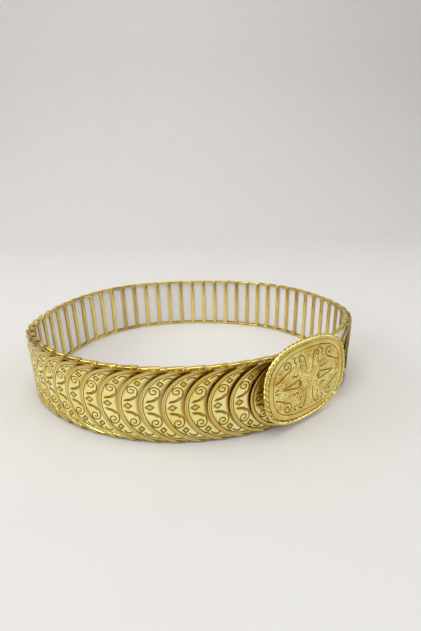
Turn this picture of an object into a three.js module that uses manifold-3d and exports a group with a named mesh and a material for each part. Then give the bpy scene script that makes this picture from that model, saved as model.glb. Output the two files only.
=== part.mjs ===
// Expanding belt: gilt crescent plates on ladder link frames, an elastic web inside, an oval buckle.
// Millimetres, +Z up. The belt stands on its lower edge, closed.
import * as THREE from 'three';
import { mergeVertices } from 'three/addons/utils/BufferGeometryUtils.js';
import Module from 'manifold-3d';

const wasm = await Module();
wasm.setup();

// ---- sizes -------------------------------------------------------------------------------
const BELT_H = 50;            // height of the belt, rail to rail
const GAP = 0.3;              // clearance at seams
const LINKS = 54;             // links from one side of the buckle round to the other
const PITCH = 12.39;          // along the middle line of the elastic, on average
const BUCKLE_AT = 619.3;      // where the middle of the buckle sits along the middle line
const FIRST_LINK = -16.5;     // first link, from the middle of the buckle

// how much further apart the links are pulled than on average: a share of the pitch that comes
// and goes this many times in LAP links, and the link where it is greatest
const LAP = 52;
const STRETCH = [
  { times: 1, share: 0.02, at: 5.4 },
  { times: 2, share: 0.068, at: 4.7 },
];

// the ladder behind a plate; shift: from the middle of the plate's round to the middle of the ladder
const FRAME = {
  shift: -4, rail: 2.9, bar: 3.8, chamfer: 1.4, clear: 0.38,
  inner: -2.1, barOuter: -1.3, railOuter: 0.9,
};
// the plate; share and slim: how much of the tips is kept, and of a narrow place is rim
const SCALE = {
  radius: 24.5, width: 15.5, rim: 3.1, thick: 0.6, raise: 0.3, ramp: 0.114, tail: 1.35,
  steps: 14, share: 0.985, slim: 0.4,
};
const POST = { from: 1.6, to: 4, low: 1.5, high: 2.5, sunk: 0.6 };   // low, high: from the belt's edge
const WEB = { half: 0.65, z0: 3.3, z1: 46.7, step: 6.24 };

const PLAQUE = { halfW: 34.8, halfH: 24.6, power: 2.6, thick: 1.5, sides: 40 };
const POSE = { out: 4, z: 30.5, turn: 2.4, lean: 4.5 };   // how the plaque stands on the belt
const ROPE = { dia: 3.2, sides: 6, gap: 0.33 };
const CLAMP = { plate: 1.2, inside: 1.15, length: 7, end: 1.5 };
const LEFT_CLAMP = 2.2;       // start of the clamp soldered behind the plaque, from its middle
const RIGHT_CLAMP = 33.3;     // start of the clamp that carries the hook
const HOOK = { from: 13.7, z0: 12, z1: 26, lip: 1.3, reach: 4 };
const KEEPER = { from: 16.8, to: 19, w0: -17, w1: -4.5, low: -2 };

// ---- the closed line that the elastic follows, seen from above ---------------------------
// amplitudes of the cosine and sine terms of each turn number
const PLAN = [
  { turns: 1, xc: 132, xs: 13.2, yc: -1.9, ys: 97.4 },
  { turns: 2, xc: 6.6, xs: -5.4, yc: 0.4, ys: -1.1 },
  { turns: 3, xc: -6.6, xs: -4.9, yc: 6, ys: -4.6 },
  { turns: 4, xc: -2.5, xs: 1.1, yc: -3, ys: -3.6 },
];

function planPoint(a) {
  let x = 0;
  let y = 0;
  for (const k of PLAN) {
    x += k.xc * Math.cos(k.turns * a) + k.xs * Math.sin(k.turns * a);
    y += k.yc * Math.cos(k.turns * a) + k.ys * Math.sin(k.turns * a);
  }
  return [x, y];
}

const STEPS = 3600;
const line = [];
let run = 0;
for (let i = 0; i <= STEPS; i++) {
  const p = planPoint((2 * Math.PI * i) / STEPS);
  if (i > 0) run += Math.hypot(p[0] - line[i - 1].p[0], p[1] - line[i - 1].p[1]);
  line.push({ p, s: run });
}
const ROUND = run;            // once round the middle line

function place(s) {
  const u = ((s % ROUND) + ROUND) % ROUND;
  let lo = 0;
  let hi = STEPS;
  while (hi - lo > 1) {
    const mid = (lo + hi) >> 1;
    if (line[mid].s <= u) lo = mid;
    else hi = mid;
  }
  const f = (u - line[lo].s) / (line[hi].s - line[lo].s);
  const a = (2 * Math.PI * (lo + f)) / STEPS;
  const [x, y] = planPoint(a);
  const [xa, ya] = planPoint(a - 1e-4);
  const [xb, yb] = planPoint(a + 1e-4);
  const long = Math.hypot(xb - xa, yb - ya);
  return { x, y, tx: (xb - xa) / long, ty: (yb - ya) / long };
}

// a point given along the belt, outward from its middle line, and up
function bent(s, n, z) {
  const q = place(s);
  return [q.x + n * q.ty, q.y - n * q.tx, z];
}

// the same, but straight out from one place on the line, for stiff pieces
function stiffAt(s, turnDeg = 0) {
  const q = place(s);
  const c = Math.cos((turnDeg * Math.PI) / 180);
  const d = Math.sin((turnDeg * Math.PI) / 180);
  const tx = q.tx * c - q.ty * d;
  const ty = q.tx * d + q.ty * c;
  return (u, n, z) => [q.x + u * tx + n * ty, q.y + u * ty - n * tx, z];
}

// the buckle's own directions: along it, out of its back, and up it
function plaqueAt() {
  const at = stiffAt(BUCKLE_AT, POSE.turn);
  const c = Math.cos((POSE.lean * Math.PI) / 180);
  const d = Math.sin((POSE.lean * Math.PI) / 180);
  return (u, n, w) => at(u, POSE.out + n * c - w * d, POSE.z + w * c + n * d);
}

// ---- solids ------------------------------------------------------------------------------
function solid(points, faces) {
  const props = new Float32Array(points.flat());
  const tris = new Uint32Array(faces.flat());
  let volume = 0;
  for (const [a, b, c] of faces) {
    const [p, q, r] = [points[a], points[b], points[c]];
    volume += p[0] * (q[1] * r[2] - q[2] * r[1]);
    volume += p[1] * (q[2] * r[0] - q[0] * r[2]);
    volume += p[2] * (q[0] * r[1] - q[1] * r[0]);
  }
  if (volume < 0) {
    for (let i = 0; i < tris.length; i += 3) [tris[i], tris[i + 1]] = [tris[i + 1], tris[i]];
  }
  const mesh = new wasm.Mesh({ numProp: 3, vertProperties: props, triVerts: tris });
  mesh.merge();
  return new wasm.Manifold(mesh);
}

// rings of equal length joined one to the next, the first and last closed by the given faces
function loft(rings, firstCap, lastCap) {
  const n = rings[0].length;
  const points = rings.flat();
  const faces = [];
  for (let r = 0; r + 1 < rings.length; r++) {
    for (let i = 0; i < n; i++) {
      const j = (i + 1) % n;
      faces.push([r * n + i, r * n + j, (r + 1) * n + j]);
      faces.push([r * n + i, (r + 1) * n + j, (r + 1) * n + i]);
    }
  }
  const last = (rings.length - 1) * n;
  for (const f of firstCap) faces.push([f[0], f[2], f[1]]);
  for (const f of lastCap) faces.push([f[0] + last, f[1] + last, f[2] + last]);
  return solid(points, faces);
}

// a flat outline closed by upright strips, for rings that start at the far end and are mirrored
function stripCap(n) {
  const faces = [];
  for (let i = 0; i < n / 2; i++) {
    const a = i;
    const b = i + 1;
    const c = (n - i) % n;
    const d = n - i - 1;
    if (c !== a) faces.push([a, b, c]);
    if (d !== b) faces.push([b, d, c]);
  }
  return faces;
}

function fanCap(n) {
  const faces = [];
  for (let i = 1; i + 1 < n; i++) faces.push([0, i, i + 1]);
  return faces;
}

function wound(outline) {
  const flat = outline.map(([u, v]) => new THREE.Vector2(u, v));
  return THREE.ShapeUtils.isClockWise(flat) ? [...outline].reverse() : outline;
}

function capOf(outline) {
  return THREE.ShapeUtils.triangulateShape(outline.map(([u, v]) => new THREE.Vector2(u, v)), []);
}

// an outline drawn along the belt and outward, raised from z0 to z1
function upright(drawn, z0, z1, at) {
  const outline = wound(drawn);
  const low = outline.map(([u, n]) => at(u, n, z0));
  const high = outline.map(([u, n]) => at(u, n, z1));
  const shape = capOf(outline);
  return loft([low, high], shape, shape);
}

function box(u0, u1, n0, n1, z0, z1, at) {
  return upright([[u0, n0], [u1, n0], [u1, n1], [u0, n1]], z0, z1, at);
}

// an outline drawn along the belt and up, thickened outward from n0 to n1
function plate(drawn, n0, n1, at) {
  const outline = wound(drawn);
  const back = outline.map(([u, z]) => at(u, n0, z));
  const front = outline.map(([u, z]) => at(u, n1, z));
  const shape = capOf(outline);
  return loft([back, front], shape, shape);
}

// ---- one link ----------------------------------------------------------------------------
// the back of a plate, highest along its round edge; u and w start at the middle of the round
function plateBack(u, w) {
  const k = SCALE;
  const reach = Math.sqrt(Math.max(k.radius ** 2 - w ** 2, 0));
  return k.tail + k.ramp * (k.width - Math.min(u + reach, k.width));
}

// a crescent plate: a round edge with a raised rim, hollowed out where the next plate covers it
function crescent(s) {
  const k = SCALE;
  const hollow = Math.acos(k.width / 2 / k.radius);
  const rings = [];
  for (let i = 0; i <= k.steps; i++) {
    const t = k.share * ((2 * i) / k.steps - 1);
    const turn = t * (Math.PI - hollow);
    const edge = [-k.radius * Math.cos(turn), k.radius * Math.sin(turn)];
    const far = [k.width - k.radius * Math.cos(t * hollow), k.radius * Math.sin(t * hollow)];
    const wide = Math.hypot(far[0] - edge[0], far[1] - edge[1]);
    const between = (d) => edge.map((v, j) => v + ((far[j] - v) * d) / wide);
    const rim = Math.min(k.rim, k.slim * wide);
    const raise = (k.raise * rim) / k.rim;
    const at = ([u, w], lift) => bent(s + u, plateBack(u, w) + lift, BELT_H / 2 + w);
    rings.push([
      at(edge, 0), at(edge, k.thick), at(between(rim / 2), k.thick + raise),
      at(between(rim), k.thick), at(far, k.thick), at(far, 0),
    ]);
  }
  return loft(rings, fanCap(6), fanCap(6));
}

// two rails and one bar, inside the elastic, with blocks that reach over its edges
function frame(at, half) {
  const f = FRAME;
  const b = -half + f.bar;
  const top = BELT_H - f.rail;
  const c = f.chamfer;
  const flat = (u, n, z) => [u, -n, z];
  const ladder = plate([
    [-half, 0], [half, 0], [half, f.rail], [b + c, f.rail], [b, f.rail + c],
    [b, top - c], [b + c, top], [half, top], [half, BELT_H], [-half, BELT_H],
  ], f.inner, f.barOuter, flat);
  const lower = box(-half, half, f.inner, f.railOuter, 0, f.rail, flat);
  const upper = box(-half, half, f.inner, f.railOuter, top, BELT_H, flat);
  return ladder.add(lower).add(upper).warp((v) => {
    const p = at(v[0], -v[1], v[2]);
    v[0] = p[0];
    v[1] = p[1];
    v[2] = p[2];
  });
}

// joins a rail to the plate, its top sloped as the plate is
function post(z0, z1, at) {
  const { from, to } = POST;
  const foot = FRAME.railOuter - POST.sunk;
  const top = (u) => plateBack(u + FRAME.shift, (z0 + z1) / 2 - BELT_H / 2) + SCALE.thick / 2;
  return upright([[from, foot], [to, foot], [to, top(to)], [from, top(from)]], z0, z1, at);
}

// where the links stand, going from the left of the buckle round to its right
function linkPlaces() {
  const places = [];
  let s = BUCKLE_AT + FIRST_LINK;
  for (let i = 0; i < LINKS; i++) {
    places.push(s);
    let share = 1;
    for (const k of STRETCH) {
      share += k.share * Math.cos((2 * Math.PI * k.times * (i - k.at)) / LAP);
    }
    s -= PITCH * share;
  }
  return places;
}

// half the length of a link's rails, so that they just clear the nearer neighbour's
function railHalf(places, i) {
  const foot = (j) => bent(places[j] + FRAME.shift, FRAME.inner, 0);
  const here = foot(i);
  const next = [i - 1, i + 1].filter((j) => j >= 0 && j < places.length).map(foot);
  return (Math.min(...next.map((p) => Math.hypot(p[0] - here[0], p[1] - here[1]))) - FRAME.clear) / 2;
}

function link(s, half) {
  const at = stiffAt(s + FRAME.shift);
  const foot = post(POST.low, POST.high, at);
  const head = post(BELT_H - POST.high, BELT_H - POST.low, at);
  return frame(at, half).add(foot).add(head).add(crescent(s));
}

// ---- the elastic web ---------------------------------------------------------------------
function elastic(s0, s1) {
  const count = Math.ceil((s1 - s0) / WEB.step);
  const rings = [];
  for (let i = 0; i <= count; i++) {
    const s = s0 + ((s1 - s0) * i) / count;
    rings.push([
      bent(s, -WEB.half, WEB.z0), bent(s, WEB.half, WEB.z0),
      bent(s, WEB.half, WEB.z1), bent(s, -WEB.half, WEB.z1),
    ]);
  }
  return loft(rings, fanCap(4), fanCap(4));
}

// ---- the buckle --------------------------------------------------------------------------
function ovalRing(halfW, halfH, n, at, inset = 0) {
  const out = [];
  for (let i = 0; i < PLAQUE.sides; i++) {
    const a = (2 * Math.PI * i) / PLAQUE.sides;
    const c = Math.cos(a);
    const d = Math.sin(a);
    const u = -(halfW - inset) * Math.sign(c) * Math.abs(c) ** (2 / PLAQUE.power);
    const w = (halfH - inset) * Math.sign(d) * Math.abs(d) ** (2 / PLAQUE.power);
    out.push(at(u, n, w));
  }
  return out;
}

// a U open at one end that grips an end of the elastic; open: -1 to lower, 1 to higher
function clamp(s0, open) {
  const c = CLAMP;
  const [mouth, shut] = open < 0 ? [0, c.length] : [c.length, 0];
  const wall = shut + open * c.end;
  const outside = c.inside + c.plate;
  const at = stiffAt(s0 + c.length / 2);
  const flat = (u, n, z) => at(u - c.length / 2, n, z);
  return upright([
    [mouth, -outside], [shut, -outside], [shut, outside], [mouth, outside],
    [mouth, c.inside], [wall, c.inside], [wall, -c.inside], [mouth, -c.inside],
  ], WEB.z0, WEB.z1, flat);
}

function plaque() {
  const at = plaqueAt();
  const p = PLAQUE;
  const steps = [
    { inset: 0, n: 0 }, { inset: 0, n: p.thick },
    { inset: 2.4, n: p.thick }, { inset: 3.1, n: p.thick - 0.5 },
    { inset: 3.8, n: p.thick }, { inset: 13, n: p.thick + 1.1 }, { inset: 22, n: p.thick + 1.5 },
  ];
  const rings = steps.map((k) => ovalRing(p.halfW, p.halfH, k.n, at, k.inset));
  let body = loft(rings, stripCap(p.sides), stripCap(p.sides)).add(clamp(BUCKLE_AT + LEFT_CLAMP, -1));
  const bridge = stiffAt(BUCKLE_AT + LEFT_CLAMP + CLAMP.length / 2);
  for (const z of [11, 34]) {
    const reach = POSE.out + 0.8 + (POSE.z - z - 3) * Math.sin((POSE.lean * Math.PI) / 180);
    body = body.add(box(-1.5, 3, CLAMP.inside + 0.5, reach, z, z + 6, bridge));
  }
  const k = KEEPER;
  return body.add(box(k.from, k.to, k.low, 0.8, k.w0, k.w1, at));
}

function ropeRim() {
  const at = plaqueAt();
  const r = ROPE.dia / 2;
  const rings = [];
  for (let k = 0; k < ROPE.sides; k++) {
    const a = (2 * Math.PI * k) / ROPE.sides;
    const grow = ROPE.gap + r + r * Math.cos(a);
    rings.push(ovalRing(PLAQUE.halfW + grow, PLAQUE.halfH + grow, PLAQUE.thick / 2 + r * Math.sin(a), at));
  }
  const n = PLAQUE.sides;
  const faces = [];
  for (let k = 0; k < ROPE.sides; k++) {
    const m = (k + 1) % ROPE.sides;
    for (let i = 0; i < n; i++) {
      const j = (i + 1) % n;
      faces.push([k * n + i, k * n + j, m * n + j], [k * n + i, m * n + j, m * n + i]);
    }
  }
  return solid(rings.flat(), faces);
}

function hookPlate() {
  const s0 = BUCKLE_AT + RIGHT_CLAMP;
  const grip = clamp(s0, 1);
  const h = HOOK;
  const inner = CLAMP.inside + 0.05;
  const outer = CLAMP.inside + CLAMP.plate - 0.05;
  const far = BUCKLE_AT + h.from;
  const stops = [0, h.lip, 6, 11, 16, 20.8];
  const outline = [];
  for (const u of stops) outline.push([u, inner]);
  for (const u of [...stops.slice(1)].reverse()) outline.push([u, outer]);
  outline.push([h.lip, h.reach], [0, h.reach]);
  const tongue = upright(outline, h.z0, h.z1, (u, n, z) => bent(far + u, n, z));
  return grip.add(tongue);
}

// ---- the belt ----------------------------------------------------------------------------
const finish = Object.fromEntries([
  { name: 'gilt_links', color: 0xd8b85a, metalness: 1, roughness: 0.3 },
  { name: 'gilt_buckle', color: 0xcfae52, metalness: 1, roughness: 0.35 },
  { name: 'elastic_web', color: 0xe9e6dc, metalness: 0, roughness: 0.9 },
].map((k) => [k.name, new THREE.MeshStandardMaterial(k)]));

// the last link is a bare ladder, because the hook's clamp lies where its plate would be
const places = linkPlaces();
const pieces = places.map((s, i) => ({
  name: `link_${String(i + 1).padStart(2, '0')}`,
  body: i + 1 < LINKS ? link(s, railHalf(places, i)) : frame(stiffAt(s + FRAME.shift), railHalf(places, i)),
  slot: 'gilt_links',
}));
const webEnd = BUCKLE_AT + LEFT_CLAMP + CLAMP.length - CLAMP.end - 0.05 - GAP;
const webStart = BUCKLE_AT + RIGHT_CLAMP + CLAMP.end + 0.05 + GAP - ROUND;
pieces.push({ name: 'elastic_band', body: elastic(webStart, webEnd), slot: 'elastic_web' });
pieces.push({ name: 'buckle_plaque', body: plaque(), slot: 'gilt_buckle' });
pieces.push({ name: 'buckle_rope_rim', body: ropeRim(), slot: 'gilt_buckle' });
pieces.push({ name: 'buckle_hook', body: hookPlate(), slot: 'gilt_buckle' });

// stand on z = 0 with the middle of the outline at the origin
const edge = { x0: Infinity, x1: -Infinity, y0: Infinity, y1: -Infinity };
for (const p of pieces) {
  const b = p.body.boundingBox();
  edge.x0 = Math.min(edge.x0, b.min[0]);
  edge.x1 = Math.max(edge.x1, b.max[0]);
  edge.y0 = Math.min(edge.y0, b.min[1]);
  edge.y1 = Math.max(edge.y1, b.max[1]);
}

const belt = new THREE.Group();
belt.name = 'expanding_belt';
for (const p of pieces) {
  const made = p.body.getMesh();
  const geometry = new THREE.BufferGeometry();
  const count = made.vertProperties.length / made.numProp;
  const at = new Float32Array(count * 3);
  for (let i = 0; i < count; i++) {
    at[3 * i] = made.vertProperties[made.numProp * i] - (edge.x0 + edge.x1) / 2;
    at[3 * i + 1] = made.vertProperties[made.numProp * i + 1] - (edge.y0 + edge.y1) / 2;
    at[3 * i + 2] = made.vertProperties[made.numProp * i + 2];
  }
  geometry.setAttribute('position', new THREE.BufferAttribute(at, 3));
  geometry.setIndex(Array.from(made.triVerts));
  const mesh = new THREE.Mesh(mergeVertices(geometry, 1e-5), finish[p.slot]);
  mesh.name = p.name;
  belt.add(mesh);
}

export default belt;
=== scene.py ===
# Expanding belt: engraved gilt crescent plates on ladder links, a white elastic web, an oval buckle.
import math
import bmesh
import bpy
import numpy as np
from mathutils import Matrix, Vector


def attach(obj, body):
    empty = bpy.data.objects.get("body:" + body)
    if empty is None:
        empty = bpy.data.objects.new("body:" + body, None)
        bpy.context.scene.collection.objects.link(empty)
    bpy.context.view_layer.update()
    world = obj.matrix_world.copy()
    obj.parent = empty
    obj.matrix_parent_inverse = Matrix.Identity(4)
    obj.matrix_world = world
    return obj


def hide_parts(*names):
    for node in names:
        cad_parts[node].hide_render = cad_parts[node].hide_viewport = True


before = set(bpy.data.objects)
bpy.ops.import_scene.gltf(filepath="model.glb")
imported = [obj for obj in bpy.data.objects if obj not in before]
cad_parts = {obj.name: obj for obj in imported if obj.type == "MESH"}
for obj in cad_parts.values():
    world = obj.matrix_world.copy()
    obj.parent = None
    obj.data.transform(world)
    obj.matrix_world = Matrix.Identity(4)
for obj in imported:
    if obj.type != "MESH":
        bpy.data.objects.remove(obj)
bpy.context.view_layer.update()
MM = 0.001

# ---- sizes in millimetres, shared with the part's source -----------------------------------
BELT_H = 50.0
LINKS = 54
LAP = 52                         # links in one turn of the stretch
PITCH = 12.39
STRETCH = [                      # waves a turn, share of the pitch, link where it is widest
    (1, 0.02, 5.4),
    (2, 0.068, 4.7),
]
PLAN = [                         # turns, x cos, x sin, y cos, y sin
    (1, 132.0, 13.2, -1.9, 97.4),
    (2, 6.6, -5.4, 0.4, -1.1),
    (3, -6.6, -4.9, 6.0, -4.6),
    (4, -2.5, 1.1, -3.0, -3.6),
]
CENTRE = (4.2564, -4.4614)       # middle of the outline, which the part has at its origin
BUCKLE_AT = 619.3                # along the belt's line
FIRST_LINK = -16.5               # from the buckle
FRAME = dict(shift=-4.0, bar=3.8, clear=0.38, inner=-2.1, bar_outer=-1.3, rail_outer=0.9)
SCALE = dict(radius=24.5, width=15.5, thick=0.6, lift=0.3, ramp=0.114, tail=1.35, share=0.985)
POST = dict(start=1.6, end=4.0, low=1.5, high=2.5)
WEB = dict(half=0.65, z0=3.3, z1=46.7)
PLAQUE = dict(half_w=34.8, half_h=24.6, power=2.6, thick=1.5)
POSE = dict(out=4.0, z=30.5, turn=2.4, lean=4.5)
ROPE = dict(dia=3.2, gap=0.33)
CLAMP = dict(plate=1.2, inside=1.15, length=7.0, end=1.5)
LEFT_CLAMP = 2.2
RIGHT_CLAMP = 33.3
BRIDGE = dict(feet=(11.0, 34.0), start=-1.5, end=3.0, high=6.0)
KEEPER = dict(start=16.8, end=19.0, w0=-17.0, w1=-4.5, low=-2.0)

# ---- finer sizes of the finished surfaces, in millimetres -----------------------------------
RAIL_HALF = 5.9                  # half a rail, before each is fitted between its neighbours
FOLD = 2.4                       # height of the folded strip that shows
STEP_UP = 0.7                    # how far the high end of a top strip stands over the next one
CLOSER = 0.12                    # the thin strips nearly touch end to end
LADDER = dict(narrower=0.5, edge=0.3, tuck=0.1, window=2.2, soften=0.24, fold_corner=0.8)
PLATE_COLUMNS = 157              # points round a plate, which keeps 53 plates under a million triangles
RIM_ROWS = [0.0, 0.14, 0.4, 0.75, 1.1, 1.5, 1.85, 2.1, 2.3, 2.5, 2.75, 3.0]
RIM = dict(middle=1.1, half=1.15, full_at=8.0, bevel=0.35, bevel_deep=0.12)
ENGRAVED = dict(width=1.15, deep=0.28)
GROOVE = dict(at=2.45, width=0.75, deep=0.2)
HAIRLINE = dict(at=3.2, width=0.4, deep=0.05, dark=0.35)
LOZENGE = dict(u=-18.2, half_w=2.5, half_h=1.9)
SQUARE = dict(u=-10.9, w=15.9, half=1.8)
# a brown band of painted shade on each plate beside the next plate's rim, widening towards the top
NEIGHBOUR_SHADE = dict(narrow=0.7, wider=1.2, start=-14.0, rise=24.0, strong=1.2)
DOME = dict(high=1.2, over=22.0)
LIP = dict(half=1.5, high=0.16)
BUCKLE_CUT = dict(width=1.25, deep=0.34)
BURR = dict(off=1.0, width=0.8, high=0.05)
BORDER = dict(at=3.3, width=0.8, deep=0.3)
BORDER_LINE = dict(at=4.1, width=0.4, deep=0.0125, dark=0.25)
STIPPLE = dict(count=2400, half_w=30.5, half_h=20.5, inside=4.4, clear=0.9, radius=0.44, deep=0.13)
BEADS = [(14.6, 12.0), (5.8, 6.6), (12.4, 12.6), (26.2, 11.0), (16.4, 6.4)]
BEAD = dict(radius=0.8, high=0.3)
LEAF_FOOT = dict(u=8.6, half_w=1.4, half_h=1.3, deep=0.2)
ROSETTE = dict(petals=8, ring=2.3, half=1.6, high=0.315, bead=0.95, bead_high=0.35)
WIRE = dict(strands=3, radius=0.8, twist=11.0, sides=9, steps=720)

# ---- room and camera -------------------------------------------------------------------------
BOARD = dict(half=3.0, near=-3.0, far=0.75, bend=0.6, high=2.6)          # metres
LIGHTS = [                       # name, place, aim and size in metres, watts
    ("window_left", (-1.3, 0.1, 0.9), (0, 0.1, 0.03), (1.0, 0.8), 5.0),
    ("overhead", (-0.1, -0.1, 1.5), (0, 0.6, 0.1), (0.9, 0.7), 7.0),
    ("front_window", (-0.75, -1.0, 0.55), (0, 0, 0.03), (0.35, 0.35), 2.6),
    ("right_fill", (1.0, -0.2, 1.0), (0, 0.05, 0.03), (0.6, 0.6), 2.2),
]
CAMERA = dict(x=18.907, y=-294.199, z=148.38, down=19.62, roll=-1.31, focal_px=360.0)
SENSOR = 36.0
PICTURE_H = 631.0


# ---- the closed line of the elastic ----------------------------------------------------------
def plan_point(a):
    x = sum(k[1] * np.cos(k[0] * a) + k[2] * np.sin(k[0] * a) for k in PLAN)
    y = sum(k[3] * np.cos(k[0] * a) + k[4] * np.sin(k[0] * a) for k in PLAN)
    return x, y


def plan_slope(a):
    x = sum(-k[0] * k[1] * np.sin(k[0] * a) + k[0] * k[2] * np.cos(k[0] * a) for k in PLAN)
    y = sum(-k[0] * k[3] * np.sin(k[0] * a) + k[0] * k[4] * np.cos(k[0] * a) for k in PLAN)
    return x, y


def run_along(x, y):
    """Length from the first point of a line to each of its points."""
    return np.concatenate([[0.0], np.cumsum(np.hypot(np.diff(x), np.diff(y)))])


TURN = np.linspace(0.0, 2.0 * math.pi, 3601)
RUN = run_along(*plan_point(TURN))
ROUND = RUN[-1]


def place(s):
    """The point at a length along the line, and the direction there."""
    a = np.interp(np.mod(s, ROUND), RUN, TURN)
    x, y = plan_point(a)
    dx, dy = plan_slope(a)
    size = np.hypot(dx, dy)
    return x - CENTRE[0], y - CENTRE[1], dx / size, dy / size


def bent(s, n, z):
    """Points given along the belt, outward from its middle line, and up."""
    x, y, tx, ty = place(np.asarray(s, float))
    return np.stack([x + n * ty, y - n * tx, z + 0.0 * x], axis=-1)


def stiff_at(s, turn=0.0):
    """The same for a stiff piece, straight out from one place on the line."""
    x, y, tx, ty = place(s)
    c, d = math.cos(math.radians(turn)), math.sin(math.radians(turn))
    ux, uy = tx * c - ty * d, tx * d + ty * c

    def at(u, n, z):
        return np.stack([x + u * ux + n * uy, y + u * uy - n * ux, z + 0.0 * u], axis=-1)
    return at


def plaque_at():
    """Points given across the plaque, out of its back, and up it."""
    at = stiff_at(BUCKLE_AT, POSE["turn"])
    c, d = math.cos(math.radians(POSE["lean"])), math.sin(math.radians(POSE["lean"]))

    def lean(u, n, w):
        return at(u, POSE["out"] + n * c - w * d, POSE["z"] + w * c + n * d)
    return lean


def link_places():
    s, found = BUCKLE_AT + FIRST_LINK, []
    for i in range(LINKS):
        found.append(s)
        share = sum(k[1] * math.cos(2 * math.pi * k[0] * (i - k[2]) / LAP) for k in STRETCH)
        s -= PITCH * (1 + share)
    return found


def rail_half(found, i):
    """Half the length of a link's rails, which just clear the nearer neighbour's."""
    here = bent(found[i] + FRAME["shift"], FRAME["inner"], 0.0)
    beside = [bent(found[j] + FRAME["shift"], FRAME["inner"], 0.0) for j in (i - 1, i + 1) if 0 <= j < LINKS]
    return (min(np.linalg.norm(p - here) for p in beside) - FRAME["clear"]) / 2


def plate_back(u, w):
    """Height of a plate's back, greatest along its round edge; u and w start at the middle of the round."""
    reach = np.sqrt(np.maximum(SCALE["radius"] ** 2 - w ** 2, 0.0))
    return SCALE["tail"] + SCALE["ramp"] * (SCALE["width"] - np.minimum(u + reach, SCALE["width"]))


# ---- meshes ----------------------------------------------------------------------------------
def mesh_from(name, points, faces, sharp):
    """A smooth closed mesh from points in millimetres; edges sharper than so many degrees stay sharp."""
    mesh = bpy.data.meshes.new(name)
    mesh.from_pydata((points * MM).tolist(), [], faces)
    mesh.shade_smooth()
    bm = bmesh.new()
    bm.from_mesh(mesh)
    bmesh.ops.recalc_face_normals(bm, faces=bm.faces)
    for edge in bm.edges:
        if len(edge.link_faces) == 2 and edge.calc_face_angle(0.0) > math.radians(sharp):
            edge.smooth = False
    bm.to_mesh(mesh)
    bm.free()
    return mesh


def note(mesh, name, values):
    """A value at each point, which the materials read."""
    layer = mesh.attributes.new(name, "FLOAT", "POINT")
    layer.data.foreach_set("value", np.broadcast_to(values, len(mesh.vertices)).astype(np.float32))


def put(name, mesh, replaced):
    obj = bpy.data.objects.new(name, mesh)
    bpy.context.collection.objects.link(obj)
    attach(obj, "root")
    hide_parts(replaced)
    return obj


def wall(first, second, count, closed=True):
    """Faces between two rows of points, each given by the number of its first point."""
    last = count if closed else count - 1
    return [(first + j, first + (j + 1) % count, second + (j + 1) % count, second + j) for j in range(last)]


def cap(first, count):
    return tuple(range(first, first + count))


def gather(parts):
    """Several (points, faces) as one."""
    points, faces, start = [], [], 0
    for p, f in parts:
        points.append(p)
        faces += [tuple(i + start for i in face) for face in f]
        start += len(p)
    return np.concatenate(points), faces


def rounded(points, radii, steps):
    """A closed outline with its corners rounded; radii is one number or one for each corner."""
    pts = [np.array(p, float) for p in points]
    out = []
    for i, (p, r) in enumerate(zip(pts, np.broadcast_to(radii, len(pts)))):
        a, b = pts[i - 1] - p, pts[(i + 1) % len(pts)] - p
        la, lb = np.linalg.norm(a), np.linalg.norm(b)
        a, b = a / la, b / lb
        half = math.acos(max(-1.0, min(1.0, float(a @ b)))) / 2
        back = min(r / math.tan(half), 0.49 * la, 0.49 * lb)
        r = back * math.tan(half)
        mid = p + (a + b) / np.linalg.norm(a + b) * (r / math.sin(half))
        v0, v1 = p + a * back - mid, p + b * back - mid
        t0 = math.atan2(v0[1], v0[0])
        sweep = (math.atan2(v1[1], v1[0]) - t0 + math.pi) % (2 * math.pi) - math.pi
        t = t0 + sweep * np.linspace(0, 1, steps + 1)
        out.append(mid + r * np.stack([np.cos(t), np.sin(t)], axis=-1))
    return np.concatenate(out)


def box_outline(a0, b0, a1, b1):
    return [(a0, b0), (a1, b0), (a1, b1), (a0, b1)]


def prism(outline, low, high, soften, at):
    """An outline raised from low to high with softened edges; at maps (a, b, height) to a point."""
    x, y = outline.T
    if np.sum(x * np.roll(y, -1) - y * np.roll(x, -1)) < 0:
        outline = outline[::-1]
    edge = np.roll(outline, -1, 0) - np.roll(outline, 1, 0)
    edge /= np.linalg.norm(edge, axis=1)[:, None]
    inward = np.stack([-edge[:, 1], edge[:, 0]], axis=-1)
    turn = 0.3 * soften
    steps = [(soften, low), (turn, low + turn), (0.0, low + soften),
             (0.0, high - soften), (turn, high - turn), (soften, high)]
    n = len(outline)
    rings = [at(*(outline + inward * d).T, np.full(n, h)) for d, h in steps]
    faces = [cap(0, n)[::-1]]
    for r in range(len(rings) - 1):
        faces += wall(r * n, (r + 1) * n, n)
    faces.append(cap((len(rings) - 1) * n, n))
    return np.concatenate(rings), faces


def outward(a, b, h):
    """For a prism that is raised out of the belt: along, out, up."""
    return np.stack([a, h, b], axis=-1)


def lengthwise(a, b, h):
    """For a prism that runs along the belt."""
    return np.stack([h, a, b], axis=-1)


# ---- engraved work ---------------------------------------------------------------------------
def spiral(cx, cy, r0, r1, start, turns, steps=60):
    """A scroll that winds in from radius r0 to r1; angles in turns, anticlockwise."""
    k = np.linspace(0.0, 1.0, steps)
    a = 2 * math.pi * (start + turns * k)
    r = r0 + (r1 - r0) * k ** 0.8
    return np.stack([cx + r * np.cos(a), cy + r * np.sin(a)], axis=-1)


def curve_through(points, steps=14):
    """A smooth line through a few places."""
    p = np.array(points, float)
    p = np.vstack([2 * p[0] - p[1], p, 2 * p[-1] - p[-2]])
    out = []
    for a, b, c, d in zip(p, p[1:], p[2:], p[3:]):
        for t in np.linspace(0, 1, steps, endpoint=False):
            out.append(0.5 * (2 * b + (c - a) * t + (2 * a - 5 * b + 4 * c - d) * t ** 2
                              + (3 * b - a - 3 * c + d) * t ** 3))
    out.append(p[-2])
    return np.array(out)


def flip(line, x, y):
    return line * np.array([x, y])


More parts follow.
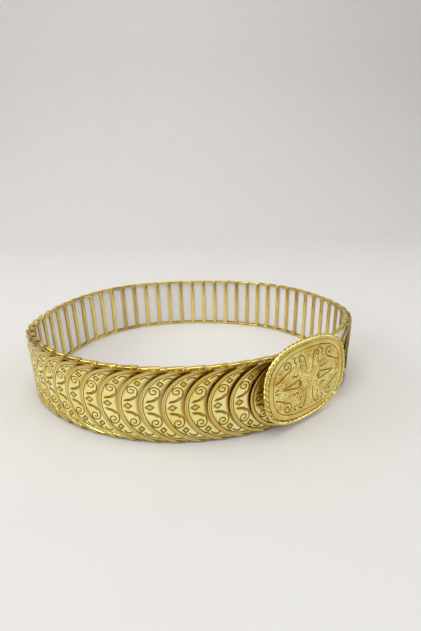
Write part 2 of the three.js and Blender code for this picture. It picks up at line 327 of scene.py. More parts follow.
def lozenge(cx, cy, half_w, half_h):
    corners = [[-half_w, 0.0], [0.0, half_h], [half_w, 0.0], [0.0, -half_h], [-half_w, 0.0]]
    return np.array(corners) + [cx, cy]


def distance_to(lines, x, y, reach=2.2):
    """Distance from every point to the nearest of the lines; beyond reach of them all it is only large."""
    best = np.full(x.shape, 99.0)
    for line in lines:
        near = ((x > line[:, 0].min() - reach) & (x < line[:, 0].max() + reach)
                & (y > line[:, 1].min() - reach) & (y < line[:, 1].max() + reach))
        if not near.any():
            continue
        px, py = x[near][:, None], y[near][:, None]
        a, ab = line[:-1], np.diff(line, axis=0)
        size = np.maximum((ab ** 2).sum(1), 1e-9)
        t = np.clip(((px - a[:, 0]) * ab[:, 0] + (py - a[:, 1]) * ab[:, 1]) / size, 0, 1)
        d = np.hypot(px - a[:, 0] - t * ab[:, 0], py - a[:, 1] - t * ab[:, 1]).min(1)
        best[near] = np.minimum(best[near], d)
    return best


def cut(d, width):
    """1 in the middle of a cut line, 0 beyond its edge."""
    t = np.clip(1 - d / (width / 2), 0, 1)
    return t * t * (3 - 2 * t)


# ---- crescent plate --------------------------------------------------------------------------
def plate_lines():
    """The plate's engraving: a lozenge between two scrolls, small squares and leaves beyond them."""
    half = [
        curve_through([(-20.0, 3.6), (-17.6, 3.8), (-15.2, 4.5), (-12.9, 6.2), (-11.6, 8.6)]),
        curve_through([(-19.2, 4.5), (-16.2, 5.0), (-13.6, 6.9)]),
        spiral(-15.1, 10.9, 3.9, 0.8, -0.09, 1.45),
        lozenge(SQUARE["u"], SQUARE["w"], SQUARE["half"], SQUARE["half"]),
        curve_through([(-8.9, 18.3), (-7.0, 19.7), (-4.9, 19.9), (-3.6, 18.6)]),
        curve_through([(-12.4, 18.4), (-10.0, 19.6)]),
    ]
    middle = lozenge(LOZENGE["u"], 0.0, LOZENGE["half_w"], LOZENGE["half_h"])
    return [middle] + half + [flip(line, 1, -1) for line in half]


def plate_edges():
    """The plate's round edge and its hollow one, point for point."""
    radius, wide = SCALE["radius"], SCALE["width"]
    hollow = math.acos(wide / 2 / radius)
    t = SCALE["share"] * np.linspace(-1, 1, PLATE_COLUMNS)
    outer, inner = t * (math.pi - hollow), t * hollow
    return (np.stack([-radius * np.cos(outer), radius * np.sin(outer)], axis=-1),
            np.stack([wide - radius * np.cos(inner), radius * np.sin(inner)], axis=-1))


def plate_relief(u, w, size):
    """The face's height over the back, and how far it is cut, is rim, and lies in the painted shade beside
    its neighbour's rim.
    """
    depth = SCALE["radius"] - np.hypot(u, w)
    small = np.clip(size / RIM["full_at"], 0.25, 1.0)       # the rim thins out towards the tips
    crown = np.clip(1 - ((depth / small - RIM["middle"]) / RIM["half"]) ** 2, 0, 1)
    line = cut(distance_to(plate_lines(), u, w), ENGRAVED["width"])
    groove = cut(np.abs(depth - GROOVE["at"]), GROOVE["width"]) * (small > 0.5)
    hair = HAIRLINE["dark"] * cut(np.abs(depth - HAIRLINE["at"]), HAIRLINE["width"]) * (small > 0.5)
    lift = SCALE["thick"] + SCALE["lift"] * small * np.sqrt(crown)
    lift -= RIM["bevel_deep"] * np.clip(1 - depth / RIM["bevel"], 0, 1)
    lift -= ENGRAVED["deep"] * line + GROOVE["deep"] * groove + HAIRLINE["deep"] * hair
    in_lozenge = np.abs(u - LOZENGE["u"]) / LOZENGE["half_w"] + np.abs(w) / LOZENGE["half_h"] < 1
    in_square = np.abs(u - SQUARE["u"]) + np.abs(np.abs(w) - SQUARE["w"]) < SQUARE["half"]
    # the outermost 0.45 mm of the round edge is darkened to ochre and brown, and roughened
    darkened_outer_edge = 0.8 * np.clip(1 - depth / 0.45, 0, 1)
    worked = np.maximum.reduce([line, groove, hair, 0.25 * in_lozenge + 0.25 * in_square, darkened_outer_edge])
    # the rim's crown, smoother and painted towards a deeper gold: a painted dark reflection
    shine = np.clip(1 - np.abs(depth - RIM["middle"]) / 1.3, 0, 1)
    # painted shade: brown beside the next plate's rim, where this plate lies under it
    away = np.hypot(u - PITCH, w) - SCALE["radius"]
    band = NEIGHBOUR_SHADE["narrow"] + NEIGHBOUR_SHADE["wider"] * np.clip((w - NEIGHBOUR_SHADE["start"]) / NEIGHBOUR_SHADE["rise"], 0, 1)
    under = np.clip(NEIGHBOUR_SHADE["strong"] - away / band, 0, 1)
    return lift, (worked, shine, under)


def plate_template():
    """A crescent lying flat: points (along, lift over the back, up), faces, and notes for the materials."""
    edge, far = plate_edges()
    rim = np.array(RIM_ROWS) / SCALE["width"]
    share = np.concatenate([rim, np.linspace(rim[-1], 0.86, 24)[1:], [0.93, 1.0]])
    back_share = np.array([0.996, 0.7, 0.35, 0.006])
    face = edge + (far - edge) * share[:, None, None]
    back = edge + (far - edge) * back_share[:, None, None]
    u, w = face[..., 0], face[..., 1]
    lift, marks = plate_relief(u, w, np.linalg.norm(far - edge, axis=1))
    front_points = np.stack([u, lift, w], axis=-1).reshape(-1, 3)
    back_points = np.insert(back, 1, 0.0, axis=-1).reshape(-1, 3)
    rows, cols = len(share) + len(back_share), PLATE_COLUMNS
    faces = []
    for r in range(rows):
        faces += wall(r * cols, (r + 1) % rows * cols, cols, closed=False)
    faces += [tuple(r * cols for r in reversed(range(rows))), tuple(r * cols + cols - 1 for r in range(rows))]
    plain = np.zeros(len(back_points))
    notes = [np.concatenate([mark.ravel(), plain]) for mark in marks]
    return np.concatenate([front_points, back_points]), faces, notes


# ---- ladder frame ----------------------------------------------------------------------------
def frame_template():
    """Ladder frame: one flat bar with round-cornered windows beside it, and two folded rails."""
    half, top = RAIL_HALF, BELT_H - FOLD
    bar = FRAME["bar"] - half - LADDER["narrower"]
    edge, tuck, window = LADDER["edge"], LADDER["tuck"], LADDER["window"]
    outline = [(-half, edge), (half, edge), (half, FOLD - tuck), (bar, FOLD - tuck),
               (bar, top + tuck), (half, top + tuck), (half, BELT_H - edge), (-half, BELT_H - edge)]
    flat = rounded(outline, [0.5, 0.5, 0.4, window, window, 0.4, 0.5, 0.5], 6)
    parts = [prism(flat, FRAME["inner"], FRAME["bar_outer"], LADDER["soften"], outward)]
    for z0, z1 in ((0.0, FOLD), (top, BELT_H)):
        fold = box_outline(FRAME["inner"] - 0.02, z0, FRAME["rail_outer"], z1)
        parts.append(prism(rounded(fold, LADDER["fold_corner"], 5), -half, half, 0.22, lengthwise))
    return gather(parts)


def post_template():
    """Two small blocks that join the rails to the plate."""
    parts = []
    middle, up = (POST["start"] + POST["end"]) / 2, (POST["low"] + POST["high"]) / 2
    for z in (up, BELT_H - up):
        top = plate_back(middle + FRAME["shift"], z - BELT_H / 2) + SCALE["thick"] / 2
        block = rounded(box_outline(POST["start"], z - 0.5, POST["end"], z + 0.5), 0.2, 2)
        parts.append(prism(block, FRAME["rail_outer"] - 0.3, top, 0.05, outward))
    return gather(parts)


# ---- materials -------------------------------------------------------------------------------
def srgb(code):
    """A hex colour as linear red, green, blue, alpha."""
    parts = [int(code[i:i + 2], 16) / 255 for i in (1, 3, 5)]
    return tuple(c / 12.92 if c <= 0.04045 else ((c + 0.055) / 1.055) ** 2.4 for c in parts) + (1.0,)


def per_m(mm):
    """Texture scale for a pattern that repeats every so many millimetres."""
    return 1.0 / (mm * MM)


def add(tree, kind, settings=None, inputs=None):
    """One node with its settings and links."""
    node = tree.nodes.new(kind)
    for key, value in (settings or {}).items():
        setattr(node, key, value)
    for key, value in (inputs or {}).items():
        socket = node.inputs[key]
        if isinstance(value, bpy.types.NodeSocket):
            tree.links.new(value, socket)
        else:
            socket.default_value = value
    return node


def material(name, **shader):
    mat = bpy.data.materials.new(name)
    mat.use_nodes = True
    tree = mat.node_tree
    tree.nodes.clear()
    bsdf = add(tree, "ShaderNodeBsdfPrincipled", inputs=shader)
    add(tree, "ShaderNodeOutputMaterial", inputs={"Surface": bsdf.outputs[0]})
    where = add(tree, "ShaderNodeTexCoord").outputs["Object"]
    return mat, tree, bsdf, where


def gilt(name, bright, shade, deep, rough, grain_mm, grain_deep):
    """Gold plating over brass: lemon-yellow metal in soft clouds of two shades, smoother rims painted a
    deeper gold as a painted dark reflection, a brown band of painted shade beside the next plate (on the
    strips a brown that varies at random), and in the cuts an ochre fringe of painted reflection turning to
    dark brown.
    The plating's satin grain is drawn coarser than the real one, so that it shows."""
    mat, tree, bsdf, where = material(name, Metallic=1.0)
    worked, shine, under = [add(tree, "ShaderNodeAttribute", {"attribute_name": mark}).outputs["Fac"]
                            for mark in ("worked", "shine", "under")]
    cloud = add(tree, "ShaderNodeTexNoise", inputs={"Vector": where, "Scale": per_m(11.0), "Detail": 3.0})
    patch = add(tree, "ShaderNodeMapRange",
                inputs={"Value": cloud.outputs[0], "From Min": 0.35, "From Max": 0.65})
    tone = add(tree, "ShaderNodeMix", {"data_type": "RGBA"},
               {"Factor": patch.outputs[0], "A": srgb(bright), "B": srgb(shade)})
    # towards the deep gold where 'shine' is high: on plate rims and the plaque's lip a painted dark
    # reflection; strips, catch and rope carry one value all over, which only sets their tone
    rim = add(tree, "ShaderNodeMath", {"operation": "MULTIPLY"}, {0: shine, 1: 0.8})
    edged = add(tree, "ShaderNodeMix", {"data_type": "RGBA"},
                {"Factor": rim.outputs[0], "A": tone.outputs["Result"], "B": srgb(deep)})
    # the brown band of painted shade beside the next plate's rim; on bare strips and posts a brown that
    # varies at random from link to link
    neighbour_shade_and_brown = add(tree, "ShaderNodeMix", {"data_type": "RGBA"},
                  {"Factor": under, "A": edged.outputs["Result"], "B": srgb("#8A4C12")})
    # round cuts and hollows the colour turns ochre: a painted reflection, the deeper gold that bounces
    # between their walls; towards their middle it turns dark brown
    bounce_fringe = add(tree, "ShaderNodeMath", {"operation": "MULTIPLY", "use_clamp": True}, {0: worked, 1: 1.5})
    ochre = add(tree, "ShaderNodeMix", {"data_type": "RGBA"},
                {"Factor": bounce_fringe.outputs[0], "A": neighbour_shade_and_brown.outputs["Result"], "B": srgb("#B08818")})
    dark = add(tree, "ShaderNodeMath", {"operation": "MULTIPLY"}, {0: worked, 1: worked})
    colour = add(tree, "ShaderNodeMix", {"data_type": "RGBA"},
                 {"Factor": dark.outputs[0], "A": ochre.outputs["Result"], "B": srgb("#482C04")})
    tree.links.new(colour.outputs["Result"], bsdf.inputs["Base Color"])
    smear = add(tree, "ShaderNodeTexNoise", inputs={"Vector": where, "Scale": per_m(4.0), "Detail": 2.0})
    base = add(tree, "ShaderNodeMapRange",
               inputs={"Value": smear.outputs[0], "To Min": rough - 0.05, "To Max": rough + 0.07})
    polish = add(tree, "ShaderNodeMath", {"operation": "MULTIPLY_ADD"},
                 {0: shine, 1: -0.14, 2: base.outputs[0]})
    dull = add(tree, "ShaderNodeMath", {"operation": "MULTIPLY_ADD"},
               {0: worked, 1: 0.3, 2: polish.outputs[0]})
    tree.links.new(dull.outputs[0], bsdf.inputs["Roughness"])
    grain = add(tree, "ShaderNodeTexNoise", inputs={"Vector": where, "Scale": per_m(grain_mm), "Detail": 4.0})
    satin = add(tree, "ShaderNodeMath", {"operation": "SUBTRACT", "use_clamp": True}, {0: 1.0, 1: shine})
    bump = add(tree, "ShaderNodeBump",
               inputs={"Strength": satin.outputs[0], "Distance": grain_deep * MM, "Height": grain.outputs[0]})
    tree.links.new(bump.outputs[0], bsdf.inputs["Normal"])
    return mat


def elastic_webbing():
    """Off-white woven elastic: ribs lengthwise over the rubber warps, crossed by the picks of the weft,
    dry and matt with a faint nap. Ribs and picks are drawn coarser than real ones, so that they show."""
    mat, tree, bsdf, where = material("elastic_webbing",
                                      **{"Roughness": 0.85, "Sheen Weight": 0.25, "IOR": 1.5})
    along = add(tree, "ShaderNodeAttribute", {"attribute_name": "along"}).outputs["Fac"]     # millimetres
    up = add(tree, "ShaderNodeSeparateXYZ", inputs={0: where}).outputs["Z"]
    rib_turn = add(tree, "ShaderNodeMath", {"operation": "MULTIPLY"}, {0: up, 1: 2 * math.pi * per_m(1.1)})
    pick_turn = add(tree, "ShaderNodeMath", {"operation": "MULTIPLY"}, {0: along, 1: 2 * math.pi / 0.8})
    ribs = add(tree, "ShaderNodeMath", {"operation": "SINE"}, {0: rib_turn.outputs[0]})
    picks = add(tree, "ShaderNodeMath", {"operation": "SINE"}, {0: pick_turn.outputs[0]})
    weave = add(tree, "ShaderNodeMath", {"operation": "MULTIPLY"}, {0: ribs.outputs[0], 1: picks.outputs[0]})
    level = add(tree, "ShaderNodeMapRange",
                inputs={"Value": weave.outputs[0], "From Min": -1.0, "From Max": 1.0})
    yarn = add(tree, "ShaderNodeTexNoise", inputs={"Vector": where, "Scale": per_m(2.5), "Detail": 3.0})
    tone = add(tree, "ShaderNodeMix", {"data_type": "RGBA"},
               {"Factor": yarn.outputs[0], "A": srgb("#FBFAF9"), "B": srgb("#F1EFED")})
    # the weave's low places painted up to 12 per cent darker: painted shade in its hollows
    weave_shade = add(tree, "ShaderNodeMapRange", inputs={"Value": level.outputs[0], "To Min": 0.88, "To Max": 1.0})
    colour = add(tree, "ShaderNodeMix", {"data_type": "RGBA", "blend_type": "MULTIPLY"},
                 {"Factor": 1.0, "A": tone.outputs["Result"], "B": weave_shade.outputs[0]})
    tree.links.new(colour.outputs["Result"], bsdf.inputs["Base Color"])
    bump = add(tree, "ShaderNodeBump",
               inputs={"Strength": 0.7, "Distance": 0.12 * MM, "Height": level.outputs[0]})
    tree.links.new(bump.outputs[0], bsdf.inputs["Normal"])
    return mat


def painted_board():
    """Matt painted board that the belt stands on: pale warm grey, barely mottled."""
    mat, tree, bsdf, where = material("painted_board", **{"Roughness": 0.6, "IOR": 1.5})
    mottle = add(tree, "ShaderNodeTexNoise", inputs={"Vector": where, "Scale": per_m(60.0), "Detail": 3.0})
    tone = add(tree, "ShaderNodeMix", {"data_type": "RGBA"},
               {"Factor": mottle.outputs[0], "A": srgb("#E4E2DF"), "B": srgb("#E1DEDA")})
    tree.links.new(tone.outputs["Result"], bsdf.inputs["Base Color"])
    return mat


# stamped and engraved sheet brass, plated and lightly brushed: a satin field and a smoother, shinier rim
# painted a darker gold as a painted dark reflection
stamped_plate = gilt("gold_plated_stamping", "#FFF7AE", "#FAE88C", "#B69428", 0.24, 0.5, 0.04)
# rolled brass strip, folded and plated: nearly smooth, a little warmer
folded_strip = gilt("gold_plated_folded_strip", "#FCEA98", "#E2CA6E", "#E4CA6A", 0.15, 0.8, 0.012)
# cast brass, chased and plated: the grainiest, with ochre clouds
cast_buckle = gilt("gold_plated_casting", "#FFF29C", "#E0BE60", "#D0B452", 0.26, 0.6, 0.07)
# drawn brass wire, twisted and plated: polished, with sharp glints
twisted_wire = gilt("gold_plated_twisted_wire", "#FAEE9E", "#D4BE5A", "#F0DE88", 0.12, 0.8, 0.01)
webbing = elastic_webbing()
board = painted_board()


# ---- links -----------------------------------------------------------------------------------
STRIP_NOTES = dict(worked=0.0, shine=0.7, under=0.0)


def link_template(plate, others):
    """One mesh of a plate and folded strip, or of strip alone, before it is bent round the belt."""
    points, faces = gather([plate[:2]] + others if plate else others)
    mesh = mesh_from("link", points, faces, sharp=30)
    on_plate = len(plate[0]) if plate else 0
    for key, notes in zip(STRIP_NOTES, plate[2] if plate else [[]] * 3):
        note(mesh, key, np.append(notes, np.full(len(points) - on_plate, STRIP_NOTES[key])))
    mesh.materials.append(stamped_plate)
    mesh.materials.append(folded_strip)
    on_strip = np.arange(len(faces)) >= (len(plate[1]) if plate else 0)
    mesh.polygons.foreach_set("material_index", on_strip.astype(np.int32))
    return mesh


def stepped(u, z):
    """The top strips step like shingles: each rises towards the buckle, above the start of the next."""
    near_end = np.clip(u / (2 * RAIL_HALF) + 0.5, 0, 1)
    return z + STEP_UP * near_end * np.clip((z - BELT_H + 2 * FOLD) / FOLD, 0, 1)


def make_links():
    plate, ladder, posts = plate_template(), frame_template(), post_template()
    whole, bare = link_template(plate, [ladder, posts]), link_template(None, [ladder])
    u, lift, w = plate[0].T
    rise = plate_back(u, w) + lift
    fu, fn, fz = ladder[0].T
    found = link_places()
    rng = np.random.default_rng(11)
    lean = rng.uniform(-0.1, 0.1, LINKS)             # no two bars lie quite flat on the elastic
    brown = 0.4 * rng.uniform(0, 1, LINKS) ** 2      # and some are browner than others
    on_bar = np.clip((BELT_H / 2 - FOLD - 1.0 - np.abs(fz - BELT_H / 2)) / 2.0, 0, 1)
    across = (fu + RAIL_HALF - FRAME["bar"] / 2) * on_bar * (fu < 0)
    for i, s in enumerate(found):
        longer = rail_half(found, i) - RAIL_HALF + CLOSER
        along = s + FRAME["shift"] + fu + longer * np.clip(fu, -1, 1)
        points = bent(along, fn + lean[i] * across, stepped(fu, fz))
        mesh = bare
        if i + 1 < LINKS:
            mesh = whole.copy()
            points = np.concatenate([bent(s + u, rise, BELT_H / 2 + w), points,
                                     stiff_at(s + FRAME["shift"])(*posts[0].T)])
            # the plates' painted shade beside the next plate's rim is heaviest by the buckle and halves away
            # from it; the strip and posts keep the link's random brown
            shade_and_brown = np.full(len(points), brown[i])
            shade_and_brown[:len(u)] = plate[2][2] * (0.5 + 0.5 * math.exp(-i / 5.0))
            mesh.attributes["under"].data.foreach_set("value", shade_and_brown.astype(np.float32))
        mesh.vertices.foreach_set("co", (points * MM).ravel().astype(np.float32))
        mesh.update()
        put(f"gilt_link_{i + 1:02d}", mesh, f"link_{i + 1:02d}")
    bpy.data.meshes.remove(whole)


# ---- elastic web -----------------------------------------------------------------------------
def make_web():
    """One length of webbing, from inside one clamp to inside the other."""
    shy = CLAMP["end"] + 0.35
    start = BUCKLE_AT + RIGHT_CLAMP + shy - ROUND
    end = BUCKLE_AT + LEFT_CLAMP + CLAMP["length"] - shy
    s = np.linspace(start, end, 560)
    h, mid = WEB["half"], BELT_H / 2
    low, high = FOLD + 0.2, BELT_H - FOLD + STEP_UP - 0.1
    edge = [(-h, low + 0.9), (-h, mid), (-h, high - 0.9), (-0.4, high - 0.2), (0.0, high), (0.4, high - 0.2),
            (h, high - 0.9), (h, mid), (h, low + 0.9), (0.4, low + 0.2), (0.0, low), (-0.4, low + 0.2)]
    rings = np.stack([bent(s, n, z) for n, z in edge], axis=1)
    m = len(edge)
    faces = [cap(0, m), cap((len(s) - 1) * m, m)[::-1]]
    for i in range(len(s) - 1):
        faces += wall(i * m, (i + 1) * m, m)
    mesh = mesh_from("elastic_web", rings.reshape(-1, 3), faces, sharp=60)
    note(mesh, "along", np.repeat(s, m))
    mesh.materials.append(webbing)
    web = put("elastic_webbing_band", mesh, "elastic_band")


# ---- buckle ----------------------------------------------------------------------------------
def oval(angle, half_w, half_h):
    c, d = np.cos(angle), np.sin(angle)
    p = 2 / PLAQUE["power"]
    return -half_w * np.sign(c) * np.abs(c) ** p, half_h * np.sign(d) * np.abs(d) ** p


def oval_inset(u, w):
    """Distance in from the plaque's edge, near enough for its borders."""
    p, tiny = PLAQUE["power"], 1e-6
    a, b = np.abs(u / PLAQUE["half_w"]), np.abs(w / PLAQUE["half_h"])
    k = (a ** p + b ** p) ** (1 / p)
    slope_u = a ** (p - 1) / PLAQUE["half_w"] * np.maximum(k, tiny) ** (1 - p)
    slope_w = b ** (p - 1) / PLAQUE["half_h"] * np.maximum(k, tiny) ** (1 - p)
    return (1 - k) / np.maximum(np.hypot(slope_u, slope_w), tiny)


def buckle_lines():
    """A quarter of the buckle's scrollwork, turned over to fill the oval."""
    quarter = [
        curve_through([(29.6, 5.6), (26.8, 6.4), (23.6, 8.2), (20.4, 10.0)]),
        spiral(20.0, 14.2, 4.3, 0.9, -0.24, -1.3),
        curve_through([(3.3, 6.2), (3.2, 9.4), (3.7, 13.0), (4.9, 16.6),
                       (7.0, 18.3), (9.0, 17.4), (9.2, 15.2), (7.8, 14.4)]),
        curve_through([(12.0, 18.0), (13.4, 17.0), (13.4, 15.2), (12.0, 14.6)]),
        curve_through([(8.2, 1.7), (10.0, 2.3), (13.6, 2.0), (18.6, 1.1), (24.4, 0.2)]),
        curve_through([(27.2, 1.4), (28.6, 1.5), (29.8, 0.6)]),
        curve_through([(7.6, 9.6), (8.4, 11.2), (8.0, 12.6)]),
        curve_through([(10.4, 6.2), (12.6, 5.6), (14.2, 6.4), (15.4, 5.6)]),
    ]
    return [flip(line, x, y) for line in quarter for x in (1, -1) for y in (1, -1)]


def rosette(u, w):
    """Eight petals round a bead, as a height."""
    r, a = np.hypot(u, w), np.arctan2(w, u)
    lobe = 0.5 + 0.5 * np.cos(ROSETTE["petals"] * a)
    petal = np.clip(1 - np.abs(r - ROSETTE["ring"]) / ROSETTE["half"], 0, 1) * lobe
    bead = np.clip(1 - (r / ROSETTE["bead"]) ** 2, 0, 1)
    return ROSETTE["high"] * petal + ROSETTE["bead_high"] * bead


def dots(u, w, at, radius):
    found = np.zeros_like(u)
    for cx, cy in at:
        found = np.maximum(found, np.clip(1 - ((u - cx) ** 2 + (w - cy) ** 2) / radius ** 2, 0, 1))
    return found


def stipple(u, w, lines):
    """Small punched hollows, thrown at random over the field but not on the scrolls."""
    rng = np.random.default_rng(7)
    spots = rng.uniform(-1, 1, (STIPPLE["count"], 2)) * [STIPPLE["half_w"], STIPPLE["half_h"]]
    spots = spots[oval_inset(*spots.T) > STIPPLE["inside"]]
    spots = spots[distance_to(lines, *spots.T) > STIPPLE["clear"]]
    return dots(u, w, spots, STIPPLE["radius"])


def plaque_relief(u, w):
    """The plaque's height, and how far it is cut and polished."""
    inset, lines = oval_inset(u, w), buckle_lines()
    d = distance_to(lines, u, w)
    line = cut(d, BUCKLE_CUT["width"])
    border = cut(np.abs(inset - BORDER["at"]), BORDER["width"])
    border_line = cut(np.abs(inset - BORDER_LINE["at"]), BORDER_LINE["width"])
    pits = stipple(u, w, lines)
    beads = dots(u, w, [(x * a, y * b) for a, b in BEADS for x in (1, -1) for y in (1, -1)], BEAD["radius"])
    foot_u, foot_w = (np.abs(u) - LEAF_FOOT["u"]) / LEAF_FOOT["half_w"], w / LEAF_FOOT["half_h"]
    foot = np.clip(1.6 - np.hypot(foot_u, foot_w), 0, 1)
    height = PLAQUE["thick"] + DOME["high"] * np.sin(0.5 * math.pi * np.clip(inset / DOME["over"], 0, 1))
    height += LIP["high"] * np.sqrt(np.clip(1 - (inset / LIP["half"] - 1) ** 2, 0, 1))
    height += BURR["high"] * cut(np.abs(d - BURR["off"]), BURR["width"])
    height += rosette(u, w) + BEAD["high"] * beads
    height -= BUCKLE_CUT["deep"] * line + BORDER["deep"] * border + BORDER_LINE["deep"] * border_line
    height -= STIPPLE["deep"] * pits + LEAF_FOOT["deep"] * foot
    cuts = [0.9 * line, border, BORDER_LINE["dark"] * border_line, 0.5 * pits, 0.6 * foot]
    # the lip, smoother and painted towards a deeper gold: a painted dark reflection
    shine = 0.6 * np.clip(1 - np.abs(inset - LIP["half"]) / 1.6, 0, 1)
    return height, np.maximum.reduce(cuts), shine


def make_plaque():
    at = plaque_at()
    cols = 420
    edge_u, edge_w = oval(np.linspace(0, 2 * math.pi, cols + 1)[:-1], PLAQUE["half_w"], PLAQUE["half_h"])
    share = 1 - np.concatenate([np.linspace(0, 0.2, 34), np.linspace(0.2, 0.97, 92)[1:]])[:, None]
    u, w = share * edge_u, share * edge_w
    height, worked, shine = plaque_relief(u, w)
    back = [(1.0, 0.12), (0.993, 0.0), (0.9, 0.0), (0.5, 0.0)]        # share of the oval, height
    points = [at(u.ravel(), height.ravel(), w.ravel())]
    points += [at(k * edge_u, np.full(cols, h), k * edge_w) for k, h in back]
    # the rows of points run from the edge in over the face, then from the edge in over the back
    middle, start = (len(share) - 1) * cols, len(share) * cols
    faces = []
    for r in range(0, middle, cols):
        faces += wall(r, r + cols, cols)
    faces.append(cap(middle, cols))
    row = 0
    for r in range(start, start + len(back) * cols, cols):
        faces += [(row + j, r + j, r + (j + 1) % cols, row + (j + 1) % cols) for j in range(cols)]
        row = r
    faces.append(cap(row, cols)[::-1])
    mesh = mesh_from("buckle_face", np.concatenate(points), faces, sharp=50)
    plain = np.zeros(len(back) * cols)
    note(mesh, "worked", np.concatenate([worked.ravel(), plain]))
    note(mesh, "shine", np.concatenate([shine.ravel(), plain]))
    mesh.materials.append(cast_buckle)
    put("buckle_face", mesh, "buckle_plaque")


def make_catch():
    """What is soldered behind the plaque: the clamp that grips the elastic, two bridges and the keeper."""
    at, lean = stiff_at(BUCKLE_AT + LEFT_CLAMP + CLAMP["length"] / 2), plaque_at()
    half, inside = CLAMP["length"] / 2, CLAMP["inside"]
    out, slot_end = inside + CLAMP["plate"], half - CLAMP["end"]
    grip = rounded([(-half, -out), (half, -out), (half, out), (-half, out),
                    (-half, inside), (slot_end, inside), (slot_end, -inside), (-half, -inside)],
                   [0.3, 0.9, 0.9, 0.3, 0.3, 0.4, 0.4, 0.3], 4)
    parts = [prism(grip, WEB["z0"], WEB["z1"], 0.25, at)]
    for z in BRIDGE["feet"]:
        below = POSE["z"] - z - BRIDGE["high"] / 2
        reach = POSE["out"] + 0.7 + below * math.sin(math.radians(POSE["lean"]))
        foot = rounded(box_outline(BRIDGE["start"], z, BRIDGE["end"], z + BRIDGE["high"]), 0.8, 4)
        parts.append(prism(foot, inside + 0.5, reach, 0.1, lambda a, b, h: at(a, h, b)))
    stop = rounded(box_outline(KEEPER["start"], KEEPER["w0"], KEEPER["end"], KEEPER["w1"]), 0.5, 3)
    parts.append(prism(stop, KEEPER["low"], 0.4, 0.2, lambda a, b, h: lean(a, h, b)))
    mesh = mesh_from("buckle_catch", *gather(parts), sharp=40)
    note(mesh, "worked", 0.0)
    note(mesh, "shine", 0.4)
    mesh.materials.append(folded_strip)
    put("buckle_catch", mesh, "buckle_plaque")


def make_rope():
    """Three wires twisted together and laid round the plaque."""
    at, n, sides, wire = plaque_at(), WIRE["steps"], WIRE["sides"], WIRE["radius"]
    grow, lay = ROPE["gap"] + ROPE["dia"] / 2, ROPE["dia"] / 2 - wire
    u, w = oval(np.linspace(0, 2 * math.pi, n + 1), PLAQUE["half_w"] + grow, PLAQUE["half_h"] + grow)
    run = run_along(u, w)
    even = np.linspace(0, run[-1], n + 1)[:-1]
    u, w = np.interp(even, run, u), np.interp(even, run, w)
    du, dw = np.roll(u, -1) - np.roll(u, 1), np.roll(w, -1) - np.roll(w, 1)
    size = np.hypot(du, dw)
    nu, nw = dw / size, -du / size
    twists = round(run[-1] / WIRE["twist"])
    faces = []
    for i in range(n):
        faces += wall(i * sides, (i + 1) % n * sides, sides)
    parts = []
    for k in range(WIRE["strands"]):
        turn = 2 * math.pi * (twists * even / run[-1] + k / WIRE["strands"])
        rings = []
        for a in 2 * math.pi * np.arange(sides) / sides:
            side, lift = lay * np.cos(turn) + wire * math.cos(a), lay * np.sin(turn) + wire * math.sin(a)
            rings.append(at(u + nu * side, PLAQUE["thick"] / 2 + lift, w + nw * side))
        parts.append((np.stack(rings, axis=1).reshape(-1, 3), faces))
    mesh = mesh_from("buckle_rope", *gather(parts), sharp=80)
    note(mesh, "worked", 0.0)
    note(mesh, "shine", 1.0)
    mesh.materials.append(twisted_wire)
    put("buckle_rope", mesh, "buckle_rope_rim")


def dress_hook():
    """The hook keeps the frame's own shape, in plated strip."""
    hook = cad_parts["buckle_hook"]
    hook.data.materials.clear()
    hook.data.materials.append(folded_strip)


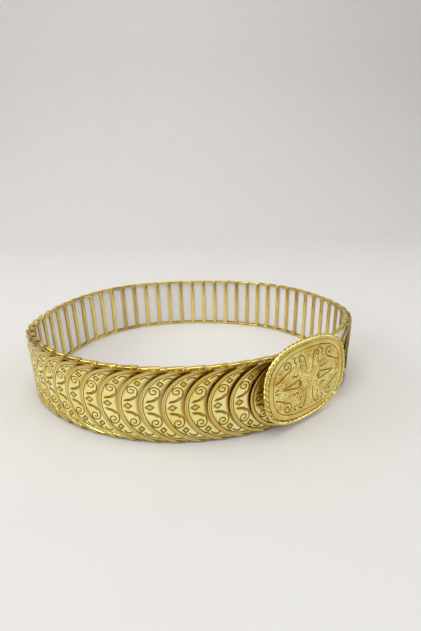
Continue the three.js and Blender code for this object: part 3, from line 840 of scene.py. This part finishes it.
# ---- floor, light and camera -----------------------------------------------------------------
def sweep():
    """A pale board that curves up into a wall, so that no line shows behind the belt."""
    b = BOARD
    curve = [(b["far"] + b["bend"] * math.sin(a), b["bend"] * (1 - math.cos(a)))
             for a in np.linspace(0, math.pi / 2, 25)[1:]]
    side = [(b["near"], 0.0), (b["far"], 0.0)] + curve + [(b["far"] + b["bend"], b["high"])]
    points = [(x, y, z) for y, z in side for x in (-b["half"], b["half"])]
    faces = [(2 * i, 2 * i + 1, 2 * i + 3, 2 * i + 2) for i in range(len(side) - 1)]
    mesh = bpy.data.meshes.new("board")
    mesh.from_pydata(points, [], faces)
    mesh.shade_smooth()
    mesh.materials.append(board)
    obj = bpy.data.objects.new("board", mesh)
    bpy.context.collection.objects.link(obj)


def room():
    """Pale above and darker low down, which gives the gold its contrast."""
    world = bpy.data.worlds.new("studio")
    bpy.context.scene.world = world
    world.use_nodes = True
    tree = world.node_tree
    around = add(tree, "ShaderNodeTexCoord").outputs["Generated"]
    up = add(tree, "ShaderNodeSeparateXYZ", inputs={0: around}).outputs["Z"]
    rise = add(tree, "ShaderNodeMapRange", inputs={"Value": up, "From Min": 0.05, "From Max": 0.6})
    sky = add(tree, "ShaderNodeMix", {"data_type": "RGBA"},
              {"Factor": rise.outputs[0], "A": srgb("#6A6252"), "B": srgb("#FAFBFC")})
    ground = tree.nodes["Background"]
    tree.links.new(sky.outputs["Result"], ground.inputs["Color"])
    ground.inputs["Strength"].default_value = 0.72
    bpy.context.scene.view_settings.view_transform = "Standard"


def area_light(name, where, aim, size, watts):
    data = bpy.data.lights.new(name, "AREA")
    data.shape = "RECTANGLE"
    data.size, data.size_y = size
    data.energy = watts
    obj = bpy.data.objects.new(name, data)
    obj.location = where
    obj.rotation_euler = (Vector(aim) - Vector(where)).to_track_quat("-Z", "Y").to_euler()
    bpy.context.collection.objects.link(obj)


def camera():
    data = bpy.data.cameras.new("camera")
    data.sensor_width = SENSOR
    data.lens = CAMERA["focal_px"] * SENSOR / PICTURE_H
    data.clip_start = 0.01
    obj = bpy.data.objects.new("camera", data)
    where = Vector((CAMERA["x"] - CENTRE[0], CAMERA["y"] - CENTRE[1], CAMERA["z"])) * MM
    tilt = Matrix.Rotation(math.radians(90 - CAMERA["down"]), 4, "X")
    roll = Matrix.Rotation(math.radians(CAMERA["roll"]), 4, "Z")
    obj.matrix_world = Matrix.Translation(where) @ tilt @ roll
    bpy.context.collection.objects.link(obj)
    bpy.context.scene.camera = obj


make_links()
make_web()
make_plaque()
make_catch()
make_rope()
dress_hook()
sweep()
room()
for light in LIGHTS:
    area_light(*light)
camera()
